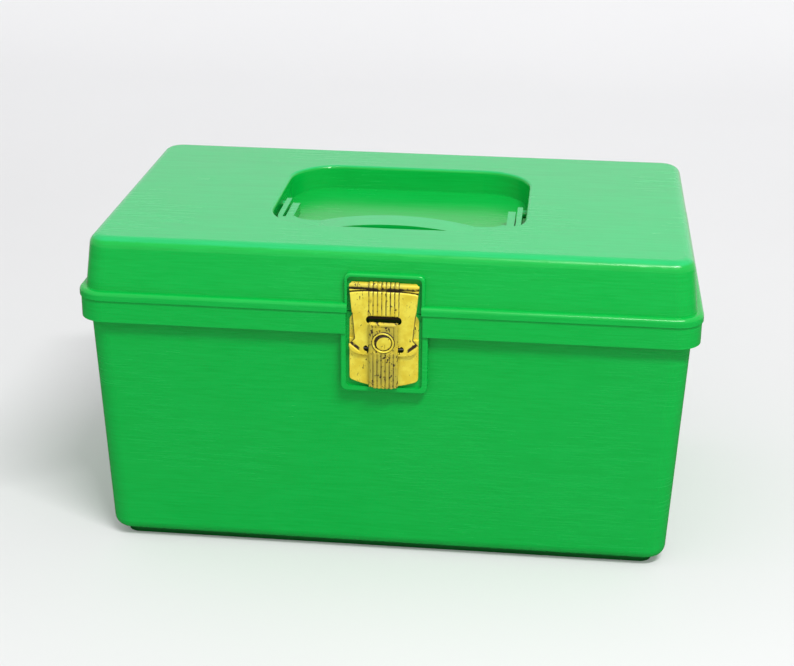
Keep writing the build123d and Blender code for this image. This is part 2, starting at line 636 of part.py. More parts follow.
with BuildPart() as strike_plate:
    with BuildSketch(front(0)):
        add(bowed_plate(STRIKE_TOP, STRIKE_TOP_CORNER))
    extrude(amount=SHEET)
    # the lower part is pressed forward as a shallow pan
    with BuildSketch(front(0)):
        add(bowed_plate(STRIKE_STEP_Z, 0))
    extrude(amount=STRIKE_FACE)
    fillet(strike_plate.faces().sort_by(Axis.Y)[0].edges(), SHEET / 2)
    with BuildSketch(front(0)):
        add(bowed_plate(STRIKE_STEP_Z, 0))
        offset(amount=-SHEET, mode=Mode.REPLACE)
    extrude(amount=STRIKE_FACE - SHEET, mode=Mode.SUBTRACT)
    # window that the lever's nose and ears move in; its top edge is the keeper
    with BuildSketch(front(0)):
        with Locations((0, (WINDOW_BOTTOM + WINDOW_TOP) / 2)):
            RectangleRounded(WINDOW_WIDTH, WINDOW_TOP - WINDOW_BOTTOM, WINDOW_CORNER)
        with Locations((-STRIKE_RIVET_X, STRIKE_RIVET_Z), (STRIKE_RIVET_X, STRIKE_RIVET_Z)):
            Circle(RIVET_RADIUS)
    extrude(amount=2 * STRIKE_FACE, mode=Mode.SUBTRACT)
save(strike_plate.part, "strike_plate")

# ---------------------------------------------------------------- rivets and washers
def rivets(spots, washer_seat, face_out):
    """Rivets with a round head outside and a small head inside the washer."""
    with BuildPart() as group:
        with BuildSketch(front(face_out)):
            with Locations(*spots):
                Circle(RIVET_HEAD_RADIUS)
        extrude(amount=RIVET_HEAD)
        chamfer(group.faces().sort_by(Axis.Y)[0:len(spots)].edges(), RIVET_HEAD_BEVEL)
        with BuildSketch(front(face_out)):
            with Locations(*spots):
                Circle(RIVET_RADIUS)
        extrude(amount=-(washer_seat + WASHER_SHEET + face_out - POCKET_Y))
        with BuildSketch(Plane.XZ.offset(-washer_seat - WASHER_SHEET)):
            with Locations(*spots):
                Circle(RIVET_HEAD_RADIUS)
        extrude(amount=-RIVET_HEAD)
    return group.part


def washers(spots, washer_seat):
    """Flat washers on the inside of a wall."""
    with BuildPart() as group:
        with BuildSketch(Plane.XZ.offset(-washer_seat)):
            with Locations(*spots):
                Circle(WASHER_RADIUS)
                Circle(RIVET_RADIUS, mode=Mode.SUBTRACT)
        extrude(amount=-WASHER_SHEET)
    return group.part


STRIKE_SPOTS = ((-STRIKE_RIVET_X, STRIKE_RIVET_Z), (STRIKE_RIVET_X, STRIKE_RIVET_Z))
BRACKET_SPOTS = ((-BRACKET_RIVET_X, BRACKET_RIVET_Z), (BRACKET_RIVET_X, BRACKET_RIVET_Z))
save(rivets(STRIKE_SPOTS, WASHER_SEAT_TUB, SHEET), "strike_rivets")
save(washers(STRIKE_SPOTS, WASHER_SEAT_TUB), "strike_washers")
save(rivets(BRACKET_SPOTS, WASHER_SEAT_LID, SHEET - LID_POCKET_EXTRA), "bracket_rivets")
save(washers(BRACKET_SPOTS, WASHER_SEAT_LID), "bracket_washers")

# ---------------------------------------------------------------- hasp bracket and pin
with BuildPart() as hasp_bracket:
    with BuildSketch(front(-LID_POCKET_EXTRA)):
        with Locations((0, BRACKET_BOTTOM)):
            Rectangle(
                BRACKET_WIDTH,
                HASP_PIN_Z - ROLL_RADIUS - ROLL_GAP - BRACKET_BOTTOM,
                align=(Align.CENTER, Align.MIN),
            )
            Rectangle(2 * ROLL_SPLIT, HASP_PIN_Z - BRACKET_BOTTOM, align=(Align.CENTER, Align.MIN))
        with Locations(*BRACKET_SPOTS):
            Circle(RIVET_RADIUS, mode=Mode.SUBTRACT)
    extrude(amount=SHEET)
    with BuildSketch(side(0)):
        with Locations((POCKET_Y - HASP_PIN_OUT, HASP_PIN_Z)):
            Circle(ROLL_RADIUS)
    extrude(amount=ROLL_SPLIT, both=True)
    with BuildSketch(side(0)):
        with Locations((POCKET_Y - HASP_PIN_OUT, HASP_PIN_Z)):
            Circle(HASP_PIN_RADIUS)
    extrude(amount=ROLL_SPLIT, both=True, mode=Mode.SUBTRACT)
save(hasp_bracket.part, "hasp_bracket")

with BuildPart() as hasp_pin:
    with BuildSketch(side(0)):
        with Locations((POCKET_Y - HASP_PIN_OUT, HASP_PIN_Z)):
            Circle(HASP_PIN_RADIUS)
    extrude(amount=HASP_WIDTH / 2, both=True)
save(hasp_pin.part, "hasp_pin")

# ---------------------------------------------------------------- hasp plate
HALF_HASP = HASP_WIDTH / 2
HALF_WAIST = WAIST_WIDTH / 2
EAR_LOW_Z = (EAR_Z + HASP_BOTTOM) / 2 - EAR_BOW
EAR_FOOT_Z = HASP_BOTTOM + EAR_FOOT_RISE

with BuildPart() as hasp_plate:
    with BuildSketch(front(HASP_BACK)) as hasp_outline:
        with BuildLine() as half_outline:
            Line((0, HASP_PIN_Z), (HALF_HASP, HASP_PIN_Z))
            Line((HALF_HASP, HASP_PIN_Z), (HALF_WAIST, WAIST_Z))
            ThreePointArc(
                (HALF_WAIST, WAIST_Z),
                (HALF_WAIST + EAR_SIDE_BOW, (WAIST_Z + EAR_Z) / 2 + EAR_SIDE_RISE),
                (HALF_HASP, EAR_Z),
            )
            ThreePointArc((HALF_HASP, EAR_Z), (EAR_CURVE_X, EAR_LOW_Z), (EAR_FOOT_X, EAR_FOOT_Z))
            Line((EAR_FOOT_X, EAR_FOOT_Z), (0, HASP_BOTTOM))
            mirror(about=Plane.YZ)
        make_face()
    extrude(amount=SHEET)
    # clear of the bracket's roll in the middle
    with BuildSketch(front(HASP_BACK)):
        with Locations((0, HASP_PIN_Z - ROLL_RADIUS - ROLL_GAP)):
            Rectangle(2 * (ROLL_SPLIT + ROLL_GAP), 3 * ROLL_RADIUS, align=(Align.CENTER, Align.MIN))
    extrude(amount=SHEET, mode=Mode.SUBTRACT)
    # rolls round the pin, one each side of the bracket's roll
    for end in (-1, 1):
        with BuildSketch(side(end * (ROLL_SPLIT + ROLL_GAP))):
            with Locations((POCKET_Y - HASP_PIN_OUT, HASP_PIN_Z)):
                Circle(ROLL_RADIUS)
        extrude(amount=end * (HALF_HASP - ROLL_SPLIT - ROLL_GAP))
    with BuildSketch(side(0)):
        with Locations((POCKET_Y - HASP_PIN_OUT, HASP_PIN_Z)):
            Circle(HASP_PIN_RADIUS + HASP_PIN_CLEARANCE)
    extrude(amount=HASP_WIDTH, both=True, mode=Mode.SUBTRACT)
    # slots for the nose and for the ears of the lever
    with BuildSketch(front(0)):
        with Locations((0, SLOT_TOP - SLOT_HEIGHT / 2)):
            SlotOverall(SLOT_WIDTH, SLOT_HEIGHT)
        with Locations((0, LEVER_PIN_Z)):
            SlotOverall(PIVOT_SLOT_WIDTH, PIVOT_SLOT_HEIGHT)
    extrude(amount=2 * HASP_FACE, mode=Mode.SUBTRACT)
    # tabs turned in at the ends of the lower slot, that hold the lever's pin
    for end in (-1, 1):
        with BuildSketch(side(end * (PIVOT_SLOT_WIDTH / 2 - TAB_INSET))):
            with Locations((POCKET_Y - LEVER_PIN_OUT, LEVER_PIN_Z)):
                Circle(LEVER_EAR_RADIUS)
            with Locations((POCKET_Y - (LEVER_PIN_OUT + HASP_FACE) / 2, LEVER_PIN_Z)):
                Rectangle(HASP_FACE - LEVER_PIN_OUT, PIVOT_SLOT_HEIGHT)
            with Locations((POCKET_Y - LEVER_PIN_OUT, LEVER_PIN_Z)):
                Circle(LEVER_PIN_RADIUS, mode=Mode.SUBTRACT)
        extrude(amount=-end * SHEET)
save(hasp_plate.part, "hasp_plate")

# ---------------------------------------------------------------- lever and its pin
with BuildPart() as lever_pin:
    with BuildSketch(side(0)):
        with Locations((POCKET_Y - LEVER_PIN_OUT, LEVER_PIN_Z)):
            Circle(LEVER_PIN_RADIUS)
    extrude(amount=PIVOT_SLOT_WIDTH / 2 - TAB_INSET, both=True)
save(lever_pin.part, "lever_pin")

LEVER_MIDDLE = (LEVER_TOP + LEVER_BOTTOM) / 2
NOSE_OUT = SHEET - NOSE_BITE
with BuildPart() as lever:
    with BuildSketch(front(LEVER_BACK - LEVER_FLANGE)):
        with Locations((0, LEVER_MIDDLE)):
            RectangleRounded(LEVER_WIDTH, LEVER_TOP - LEVER_BOTTOM, LEVER_CORNER)
    extrude(amount=SHEET + LEVER_FLANGE)
    with BuildSketch(front(LEVER_BACK - LEVER_FLANGE)):
        with Locations((0, LEVER_MIDDLE)):
            Rectangle(LEVER_WIDTH - 2 * SHEET, LEVER_TOP - LEVER_BOTTOM - 2 * SHEET)
    extrude(amount=LEVER_FLANGE, mode=Mode.SUBTRACT)
    # nose that reaches under the keeper
    with BuildSketch(front(NOSE_OUT)):
        with Locations((0, LEVER_TOP)):
            Rectangle(NOSE_WIDTH, SHEET, align=(Align.CENTER, Align.MAX))
    extrude(amount=LEVER_BACK - NOSE_OUT)
    # ears on the pin
    for end in (-1, 1):
        with BuildSketch(side(end * LEVER_EAR_X)):
            with Locations((POCKET_Y - LEVER_PIN_OUT, LEVER_PIN_Z)):
                Circle(LEVER_EAR_RADIUS)
                Rectangle(
                    LEVER_BACK - LEVER_PIN_OUT + SHEET / 2,
                    2 * LEVER_EAR_RADIUS,
                    align=(Align.MAX, Align.CENTER),
                )
                Circle(LEVER_PIN_RADIUS + LEVER_PIN_CLEARANCE, mode=Mode.SUBTRACT)
        extrude(amount=end * SHEET)
    # raised ring and disc
    with BuildSketch(front(LEVER_FACE)):
        with Locations((0, BOSS_Z)):
            Circle(BOSS_RADIUS)
            Circle(BOSS_DISC_RADIUS, mode=Mode.SUBTRACT)
            Circle(BOSS_DISC_RADIUS - BOSS_GROOVE)
    extrude(amount=BOSS_PROUD)
pivot_axis = Axis((0, POCKET_Y - LEVER_PIN_OUT, LEVER_PIN_Z), (1, 0, 0))
save(lever.part.rotate(pivot_axis, LEVER_RELEASE_ANGLE), "latch_lever")

# ---------------------------------------------------------------- tray
TRAY_WIDTH = 2 * (tub_half(TUB_TOP_WIDTH - 2 * TUB_WALL, TRAY_BOTTOM) - TRAY_GAP)
TRAY_DEPTH = 2 * (tub_half(TUB_TOP_DEPTH - 2 * TUB_WALL, TRAY_BOTTOM) - TRAY_GAP)
CELL_DEPTH = TRAY_REAR_DEPTH - TRAY_SKIN
CELL_PITCH = (TRAY_WIDTH - TRAY_SKIN) / TRAY_REAR_CELLS
FRONT_DEPTH = TRAY_DEPTH - 2 * TRAY_SKIN - TRAY_REAR_DEPTH
REAR_Y = TRAY_DEPTH / 2 - TRAY_SKIN - CELL_DEPTH / 2
FRONT_Y = -TRAY_DEPTH / 2 + TRAY_SKIN + FRONT_DEPTH / 2
PEG_ROW_PITCH = FRONT_DEPTH / PEG_ROWS

with BuildPart() as tray:
    with BuildSketch(Plane.XY.offset(TRAY_BOTTOM)):
        RectangleRounded(TRAY_WIDTH, TRAY_DEPTH, TRAY_CORNER)
    extrude(amount=TRAY_HEIGHT)
    with BuildSketch(Plane.XY.offset(TRAY_BOTTOM + TRAY_SKIN)):
        with Locations((0, REAR_Y)):
            with GridLocations(CELL_PITCH, 0, TRAY_REAR_CELLS, 1):
                RectangleRounded(CELL_PITCH - TRAY_SKIN, CELL_DEPTH, TRAY_CORNER - TRAY_SKIN)
        with Locations((0, FRONT_Y)):
            RectangleRounded(TRAY_WIDTH - 2 * TRAY_SKIN, FRONT_DEPTH, TRAY_CORNER - TRAY_SKIN)
    extrude(amount=TRAY_HEIGHT, mode=Mode.SUBTRACT)
    # finger notches in the end walls
    with BuildSketch(Plane.YZ):
        with Locations((FRONT_Y, TRAY_TOP)):
            RectangleRounded(TRAY_NOTCH_WIDTH, 2 * TRAY_NOTCH_DEPTH, TRAY_POCKET_CORNER)
    extrude(amount=TRAY_WIDTH, both=True, mode=Mode.SUBTRACT)
    # pegs for thread spools
    with BuildSketch(Plane.XY.offset(TRAY_BOTTOM + TRAY_SKIN)):
        with Locations((0, FRONT_Y)):
            with GridLocations(PEG_PITCH, PEG_ROW_PITCH, PEG_COUNT, PEG_ROWS):
                Circle(PEG_RADIUS)
    extrude(amount=PEG_HEIGHT, taper=PEG_DRAFT)
save(tray.part, "tray")
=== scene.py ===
import json
import math

import bpy
import numpy as np
from mathutils import Matrix, Vector


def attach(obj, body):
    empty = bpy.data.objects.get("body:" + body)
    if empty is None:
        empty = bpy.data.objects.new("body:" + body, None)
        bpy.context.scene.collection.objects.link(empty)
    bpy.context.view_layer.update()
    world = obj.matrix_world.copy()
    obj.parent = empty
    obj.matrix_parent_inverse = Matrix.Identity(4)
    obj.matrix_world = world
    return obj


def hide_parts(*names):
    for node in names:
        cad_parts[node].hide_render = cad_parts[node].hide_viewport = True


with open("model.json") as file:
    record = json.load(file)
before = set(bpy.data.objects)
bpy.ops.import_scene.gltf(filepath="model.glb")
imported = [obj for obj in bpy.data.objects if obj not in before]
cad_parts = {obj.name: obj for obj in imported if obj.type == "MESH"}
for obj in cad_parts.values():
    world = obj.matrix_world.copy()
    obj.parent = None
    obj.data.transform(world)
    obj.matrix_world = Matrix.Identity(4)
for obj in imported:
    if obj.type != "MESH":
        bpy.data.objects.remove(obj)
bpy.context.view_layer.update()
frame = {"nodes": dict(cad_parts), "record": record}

# ---------------------------------------------------------------- camera, light and floor, in metres
MM = 0.001
FOCAL_PIXELS = 1707.0
PICTURE_WIDTH = 794.0       # pixels
SENSOR_WIDTH = 36.0         # mm, as Blender's camera wants it
CLIP_START = 0.01
CAMERA_PLACE = (0.08086, -0.82062, 0.4113)
CAMERA_YAW = -0.1019        # radians, about +Z
CAMERA_PITCH = 0.3775       # radians, downwards
CAMERA_ROLL = 0.01075
ROOM_LEVEL = 0.78
LAMP_PLACE = (0.5, -0.85, 1.45)
LAMP_TARGET = (0.0, 0.0, 0.08)
LAMP_SIZE = (0.7, 0.12)
LAMP_POWER = 22.0
FLOOR_REACH = 3.0           # to each side and to the front
BACKDROP_CORNER = 0.5       # radius of the bend between floor and backdrop
BACKDROP_START = 0.9        # where the bend starts behind the object
BACKDROP_HEIGHT = 2.5
BACKDROP_STEPS = 13

# ---------------------------------------------------------------- finishes, linear colours
GREEN_DEEP = (0.0, 0.362, 0.040)
GREEN_BRIGHT = (0.0, 0.428, 0.056)
# paler greens of the painted sheen on the lid's top
SHEEN_TOP_DEEP = (0.008, 0.415, 0.105)
SHEEN_TOP_BRIGHT = (0.012, 0.49, 0.135)
GREEN_IN_SHADE = (0.002, 0.010, 0.003)
CREAM_DEEP = (0.62, 0.58, 0.46)
CREAM_BRIGHT = (0.68, 0.645, 0.53)
BRASS_DEEP = (0.79, 0.62, 0.04)
BRASS_BRIGHT = (0.93, 0.81, 0.085)
# brown of wear on the brass, also used there for painted shade
WORN_AND_SHADED_BROWN = (0.030, 0.014, 0.005)
ZINC_DEEP = (0.05, 0.048, 0.045)
ZINC_BRIGHT = (0.14, 0.135, 0.13)
BLACK = (0.0, 0.0, 0.0)
FLOOR_SEEN = ((0.58, 0.58, 0.584), (0.62, 0.62, 0.624))
FLOOR_GLOW = ((0.11, 0.11, 0.112), (0.31, 0.31, 0.32))
FLOOR_HIDDEN = (0.60, 0.60, 0.60)
FLOOR_MIRRORED = (0.10, 0.10, 0.10)
# Noise scales per metre, with three numbers for X, Y and Z.  A stretch multiplies such a scale.
WALL_GRAIN = (55.0, 55.0, 1350.0)
TOP_GRAIN = (40.0, 900.0, 900.0)
GREEN_MOTTLE = 14.0
CREAM_MOTTLE = 30.0
CREAM_PORES = 900.0
BRASS_CLOUD = 170.0
BRASS_PATCH = 110.0
BRASS_FLECK = 640.0
FLECK_STRETCH = (1.0, 1.0, 0.8)
BRASS_SCRATCH = 420.0
SCRATCH_STRETCH = (1.6, 1.0, 0.5)
ZINC_BRUSHING = (40.0, 400.0, 400.0)
FLOOR_MOTTLE = 3.0

# Parts of a pattern, or places, where what it paints begins, and is full.
LEVEL = (0.6, 0.8)          # height part of the normal from which a face is level, in part and in full
STREAK = (0.32, 0.66)       # grain from which a streak begins, and is full
TOP_SHEEN_HEIGHT = (150.0 * MM, 154.0 * MM)         # painted sheen: the lid's top face, above this height, is painted paler for the bright backdrop it mirrors
FOOT_SHADE = (3.5 * MM, 1.5 * MM)       # painted shade darkens the foot rim below this height
BRASS_SHINE = (0.35, 0.7)
BRASS_GRIME_AND_SHADE = (0.3, 0.65)
WORN_PATCH = (0.45, 0.62)
WORN_FLECK = (0.63, 0.68)
WORN_SCRATCH = (0.67, 0.71)
MIRRORED_BEHIND = (0.15, 0.5)           # how far back the floor is white in mirrors too
GLOW_BEHIND = (-0.2, 1.2)               # how far back the floor glows least, and most

# ---------------------------------------------------------------- latch
# "Out" is the distance in front of the pocket's floor, Z the height above the table.
POCKET_Y = -87.6 * MM
HASP_SHEET = 0.72 * MM
HASP_OUT = 3.0 * MM
HASP_HALF = 16.15 * MM
HASP_FOOT_HALF = 10.0 * MM
HASP_FOOT_Z = 108.5 * MM
HASP_FOOT_BOW = 0.6 * MM    # the foot's edge hangs lower in the middle than at its corners
BOW_LIMIT = 1.2             # share of the foot's half width where the bow stops growing
BOW_MIDDLE = 0.5            # share of the bow that lies below the straight edge
HASP_ROWS = 189
HASP_COLUMNS = 161
EAR_Z = 113.4 * MM
EAR_LIFT = 0.55 * MM
EAR_START = (10.5 * MM, 12.0 * MM)      # distance from the middle where an ear begins to lift
EAR_END = (15.0 * MM, 15.8 * MM)        # and where its shade ends
# distances inwards from an ear's slanting edge
EAR_LIP = (0.27 * MM, 0.9 * MM)         # the full lift ends, and all lift
EAR_SHADE_START = (0.63 * MM, 0.9 * MM)
EAR_SHADE_END = (1.92 * MM, 2.4 * MM)
WAIST_HALF = 13.7 * MM
WAIST_Z = 117.0 * MM
EDGE_LINE = (0.18 * MM, 0.45 * MM)      # painted shade: a dark line along the sides of the hasp's waist
EDGE_LINE_START = (EAR_Z, EAR_Z + 1.5 * MM)
EDGE_LINE_END = (127.0 * MM, 132.0 * MM)
ROLL_OUT = 1.5 * MM
ROLL_Z = 142.4 * MM
ROLL_RADIUS = 1.72 * MM
ROLL_STEPS = 90
ROLL_BEND = (math.radians(-62), math.radians(200))      # round the pin, upwards from straight out
ROLL_END_DRAW = 1.3 * MM    # how far the ends of the roll draw in over its top
ROLL_END_BEND = (math.radians(10), math.radians(110))
ROLL_SHADE_BEND = (-0.5, 0.15)          # radians; the roll is dark below this
CREASE_TOP = 140.9 * MM     # where the flat face ends
CREASE_Z = 140.5 * MM
CREASE_DROP = 1.0 * MM      # the crease under the roll dips this much at its ends
CREASE_WIDTH = 0.42 * MM
CREASE_DEPTH = 0.9 * MM
SNAP = 0.15 * MM            # points nearer than this to a slot are drawn to its edge
SLOTS = (                   # middle height, width and height of the upper and the lower slot
    (126.05 * MM, 16.6 * MM, 4.2 * MM),
    (111.8 * MM, 19.0 * MM, 3.2 * MM),
)
SLOT_SHADE_X = 0.8 * MM     # the shade behind a slot fades out over this distance beyond its width
SLOT_SHADE_Z = (1.2 * MM, 0.4 * MM)     # margins beyond its height where it ends, and is full
# the shade lies between the back of the hasp's sheet and just behind the face of the pocket's floor
SLOT_SHADE_FRONT = (POCKET_Y - 2.1 * MM, POCKET_Y - 1.9 * MM)
SLOT_SHADE_BACK = (POCKET_Y + 1.2 * MM, POCKET_Y + 0.8 * MM)
HASP_FLUTES = (7, 2.0 * MM)             # number and pitch
LEVER_FLUTES = (5, 1.9 * MM)
FLUTE_PROUD = 0.34 * MM
FLUTE_HALF = 0.46           # half width of a flute, as a share of its pitch
FLUTE_RUN_OUT = 0.5 * MM
GROOVE_MARGIN = 0.08        # dirt beyond the outer flutes, as a share of the pitch
GROOVE = (0.30, 0.46)       # a groove's dirt begins and is full here, as shares of the pitch
LEVER_OUT = 4.9 * MM
LEVER_SIDE = 1.4 * MM
LEVER_HALF = 6.8 * MM
LEVER_BOTTOM = 92.9 * MM
LEVER_TOP = 125.8 * MM
LEVER_BEVEL = 0.9 * MM
LEVER_BEVEL_DROP = 0.6 * MM
LEVER_ROWS = 241
LEVER_COLUMNS = 121
SCALLOP = 1.2               # depth of the scalloped end, as a multiple of the flutes' height
PANEL_INSET = 1.9 * MM
PANEL_EDGE = 0.3 * MM
PANEL_SINK = 0.25 * MM
PANEL_START = (117.0 * MM, 119.0 * MM)
PANEL_LINE_START = (117.5 * MM, 119.0 * MM)
PANEL_LINE = (0.1 * MM, 0.4 * MM)
LEVER_FLUTE_END = (110.3 * MM, 111.5 * MM)
BOSS_Z = 116.0 * MM
BOSS_RADIUS = 5.3 * MM
BOSS_PROUD = 0.55 * MM
BOSS_EDGE = 0.4 * MM
BOSS_LINE = (0.1 * MM, 0.35 * MM)
DISC_RADIUS = 4.0 * MM
DISC_EDGE = (0.7 * MM, 0.15 * MM)       # this far inside its radius the disc's top ends, and its edge
RING_EDGE = (0.15 * MM, 0.5 * MM)       # this far outside it the ring's edge begins, and its top
BOSS_LEVEL = 0.3            # share of the flutes' height that is left within the boss
CRESCENT_SHIFT = 0.7 * MM   # the dark crescent is what a disc moved down and right leaves bare
CRESCENT_EDGE = (0.4 * MM, 0.2 * MM)
LEVER_PIVOT = (2.2 * MM, 111.8 * MM)    # out and height of the lever's pin
LEVER_RELEASE = math.radians(3.2)

# Dirt, painted shade and dark lines on the latch, from 0 to 1.  A share above 1 widens the full part
# of a soft line.
HASP_GROOVE_DIRT = 0.75
ROLL_GROOVE_DIRT = 0.8
ROLL_DIRT = 0.25
ROLL_UNDER_SHADE = 0.75      # painted shade added on the underside of the roll
CREASE_SHADE = (0.25, 0.8)   # shares of the crease's depth where its painted shade begins and is full
# painted shade beside the curled ears
EAR_SHADE_STRENGTH = 1.3
LEVER_DIRT = 0.35
LEVER_GROOVE_DIRT = 0.75
RIM_DARK_LINE = 0.8
GUTTER_DARK_LINE = 0.9
PANEL_DARK_LINE = 0.6
CRESCENT_DARKNESS = 1.2

# where a Mix node for colours keeps its share, its two colours and their mix
MIX_SHARE = 0
MIX_COLOURS = (6, 7)
MIX_RESULT = 2


# ---------------------------------------------------------------- shader maths
class Wire:
    """A shader socket that can be used in Python expressions."""

    def __init__(self, tree, socket):
        self.tree = tree
        self.socket = socket

    def math(self, operation, *others, clamp=False):
        """A Math node with this value first."""
        return make(self.tree, "ShaderNodeMath", {"operation": operation, "use_clamp": clamp},
                    [self, *others])

    def __add__(self, other):
        return self.math("ADD", other)

    __radd__ = __add__

    def __mul__(self, other):
        return self.math("MULTIPLY", other)

    __rmul__ = __mul__

    def __sub__(self, other):
        return self.math("SUBTRACT", other)

    def __rsub__(self, other):
        return make(self.tree, "ShaderNodeMath", {"operation": "SUBTRACT"}, [other, self])

    def size(self):
        """This value without its sign."""
        return self.math("ABSOLUTE")

    def clamped(self):
        """This value held between 0 and 1."""
        return self.math("ADD", 0.0, clamp=True)

    def step(self, low, high):
        """Smooth step from 0 at low to 1 at high."""
        return make(
            self.tree, "ShaderNodeMapRange",
            {"interpolation_type": "SMOOTHSTEP"},
            {"Value": self, "From Min": low, "From Max": high},
        )


def fill(tree, socket, value):
    """Link a wire to a socket, or set a plain number or colour on it."""
    if isinstance(value, Wire):
        tree.links.new(value.socket, socket)
    else:
        socket.default_value = value


def make(tree, kind, settings=None, inputs=None, output=0):
    """Add a node of any kind: its settings first, then the values or links of its sockets."""
    node = tree.nodes.new(kind)
    for name, value in (settings or {}).items():
        setattr(node, name, value)
    pairs = inputs.items() if isinstance(inputs, dict) else enumerate(inputs or [])
    for key, value in pairs:
        fill(tree, node.inputs[key], value)
    return Wire(tree, node.outputs[output])


def blank_material(name):
    """A new material: (material, tree, the principled shader's sockets)."""
    material = bpy.data.materials.new(name)
    material.use_nodes = True
    tree = material.node_tree
    return material, tree, tree.nodes["Principled BSDF"].inputs


def coordinate(tree, axis):
    """One Object coordinate, X, Y or Z."""
    place = make(tree, "ShaderNodeTexCoord", output="Object")
    return make(tree, "ShaderNodeSeparateXYZ", {}, [place], output=axis)


def upward(tree):
    """Height part of the object's own normal: 1 on its top faces, -1 on its undersides."""
    normal = make(tree, "ShaderNodeTexCoord", output="Normal")
    return make(tree, "ShaderNodeSeparateXYZ", {}, [normal], output="Z")


def noise(tree, scale, detail=2.0, roughness=0.5, distortion=0.0, stretch=(1.0, 1.0, 1.0)):
    """Noise between 0 and 1 over Object coordinates that are stretched per axis."""
    place = make(tree, "ShaderNodeTexCoord", output="Object")
    where = make(tree, "ShaderNodeMapping", {}, {"Vector": place, "Scale": stretch})
    return make(
        tree, "ShaderNodeTexNoise", {"noise_dimensions": "3D"},
        {"Vector": where, "Scale": scale, "Detail": detail, "Roughness": roughness,
         "Distortion": distortion},
    )


def mix_colour(tree, share, first, second):
    """Mix of two colours by a share from 0 to 1."""
    node = tree.nodes.new("ShaderNodeMix")
    node.data_type = "RGBA"
    fill(tree, node.inputs[MIX_SHARE], share)
    for key, value in zip(MIX_COLOURS, (first, second)):
        fill(tree, node.inputs[key], value if isinstance(value, Wire) else (*value, 1.0))
    return Wire(tree, node.outputs[MIX_RESULT])


def bump(tree, height, strength, distance):
    """A bump normal from a height."""
    values = {"Strength": strength, "Distance": distance, "Height": height}
    return make(tree, "ShaderNodeBump", {}, values)


# ---------------------------------------------------------------- materials
def shade_behind_slots(tree):
    """1 where painted shade darkens what lies behind the slots of the hasp, and 0 elsewhere."""
    x, y, z = (coordinate(tree, axis) for axis in "XYZ")
    covered = 0.0
    for middle, width, height in SLOTS:
        across = x.size().step(width / 2 + SLOT_SHADE_X, width / 2)
        outer, inner = (height / 2 + margin for margin in SLOT_SHADE_Z)
        covered = across * (z - middle).size().step(outer, inner) + covered
    return covered * y.step(*SLOT_SHADE_FRONT) * y.step(*SLOT_SHADE_BACK)


def green_plastic():
    """Glossy green moulding with a fine wavy grain that runs level round the walls; a painted sheen
    pales the lid's top, and painted shade darkens the foot rim and what lies behind the hasp's slots.
    """
    material, tree, sockets = blank_material("green_plastic")
    up = upward(tree)
    level = up.size().step(*LEVEL)
    wall_grain = noise(tree, 1.0, detail=3.0, roughness=0.55, distortion=0.9, stretch=WALL_GRAIN)
    top_grain = noise(tree, 1.0, detail=3.0, roughness=0.6, distortion=0.4, stretch=TOP_GRAIN)
    grain = wall_grain * (1.0 - level) + top_grain * level
    mottle = noise(tree, GREEN_MOTTLE, detail=3.0)
    streak = grain.step(*STREAK)
    height = coordinate(tree, "Z")
    # painted sheen: level faces of the lid's top are painted a paler green
    top_sheen = up.step(*LEVEL) * height.step(*TOP_SHEEN_HEIGHT)
    deep = mix_colour(tree, top_sheen, GREEN_DEEP, SHEEN_TOP_DEEP)
    bright = mix_colour(tree, top_sheen, GREEN_BRIGHT, SHEEN_TOP_BRIGHT)
    clean = mix_colour(tree, 0.55 * streak + 0.45 * mottle, deep, bright)
    # painted shade: dark behind the hasp's slots and along the foot rim
    shaded = 0.94 * shade_behind_slots(tree) + 0.75 * height.step(*FOOT_SHADE)
    fill(tree, sockets["Base Color"], mix_colour(tree, shaded, clean, GREEN_IN_SHADE))
    fill(tree, sockets["Roughness"], 0.18 + 0.08 * mottle + 0.05 * streak)
    fill(tree, sockets["Specular IOR Level"], 0.4)
    fill(tree, sockets["Normal"], bump(tree, grain, strength=0.18, distance=0.22 * MM))
    return material


def cream_plastic():
    """Satin cream moulding of the tray."""
    material, tree, sockets = blank_material("tray_plastic")
    mottle = noise(tree, CREAM_MOTTLE, detail=4.0, roughness=0.6)
    pores = noise(tree, CREAM_PORES)
    fill(tree, sockets["Base Color"], mix_colour(tree, mottle, CREAM_DEEP, CREAM_BRIGHT))
    fill(tree, sockets["Roughness"], 0.38 + 0.1 * mottle)
    fill(tree, sockets["Normal"], bump(tree, pores, strength=0.1, distance=0.2 * MM))
    return material


